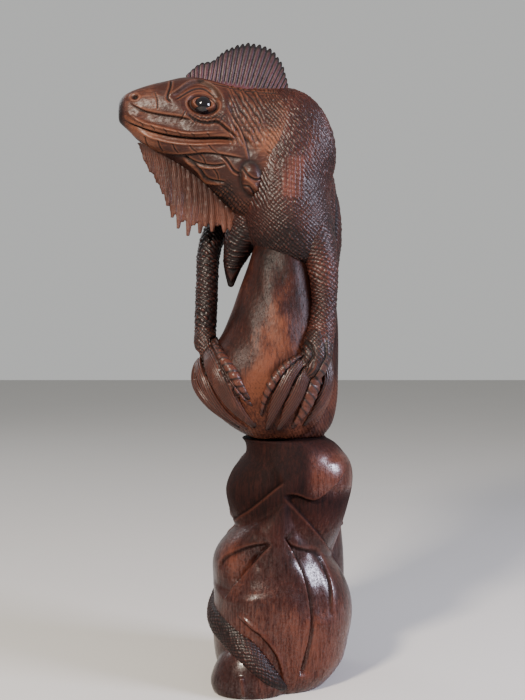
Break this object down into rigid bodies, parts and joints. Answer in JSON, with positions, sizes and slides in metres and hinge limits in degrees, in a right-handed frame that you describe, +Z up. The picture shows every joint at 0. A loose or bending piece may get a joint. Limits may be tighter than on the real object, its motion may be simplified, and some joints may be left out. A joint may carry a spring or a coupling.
{
  "type": "carved wooden iguana figure",
  "caption": "Stained and lacquered wooden iguana with a comb crest and chin fringe, clasping a knot on top of a twisted trunk that stands on its own flat foot.",
  "frame": {"origin": "on the table, on the plinth's flat foot, under the middle of the trunk", "axes": "+Z up, the longest way; the head points to -X and the animal's back is towards +Y, so -Y is the side that shows both forefeet"},
  "size_m": [0.1472, 0.1109, 0.3989],
  "materials": {
    "dark_stained_wood": "dark red-brown stain under gloss lacquer, scales and lines cut in",
    "red_stained_wood": "red-brown stain under gloss lacquer, smooth with tool facets",
    "plum_stained_wood": "plum stain under gloss lacquer, ribbed",
    "light_stained_wood": "lighter orange-brown stain under gloss lacquer",
    "bare_wood": "unstained, sawn",
    "polished_bead": "black, polished"
  },
  "bodies": {
    "root": {"plinth": "red_stained_wood", "perch": "red_stained_wood", "torso": "dark_stained_wood", "head": "dark_stained_wood", "crest": "plum_stained_wood", "dewlap": "light_stained_wood", "left_eye": "polished_bead", "right_eye": "polished_bead", "right_foreleg": "dark_stained_wood", "left_foreleg": "dark_stained_wood", "right_forefoot": "red_stained_wood", "left_forefoot": "red_stained_wood", "right_hindleg": "dark_stained_wood", "left_hindleg": "dark_stained_wood", "tail": "dark_stained_wood", "plinth_dowel": "bare_wood", "perch_dowel": "bare_wood", "neck_dowel": "bare_wood", "hip_dowel": "bare_wood", "left_shoulder_peg": "bare_wood", "right_shoulder_peg": "bare_wood", "left_wrist_peg": "bare_wood", "right_wrist_peg": "bare_wood", "left_hip_peg": "bare_wood", "right_hip_peg": "bare_wood", "tail_peg": "bare_wood"}
  },
  "joints": []
}
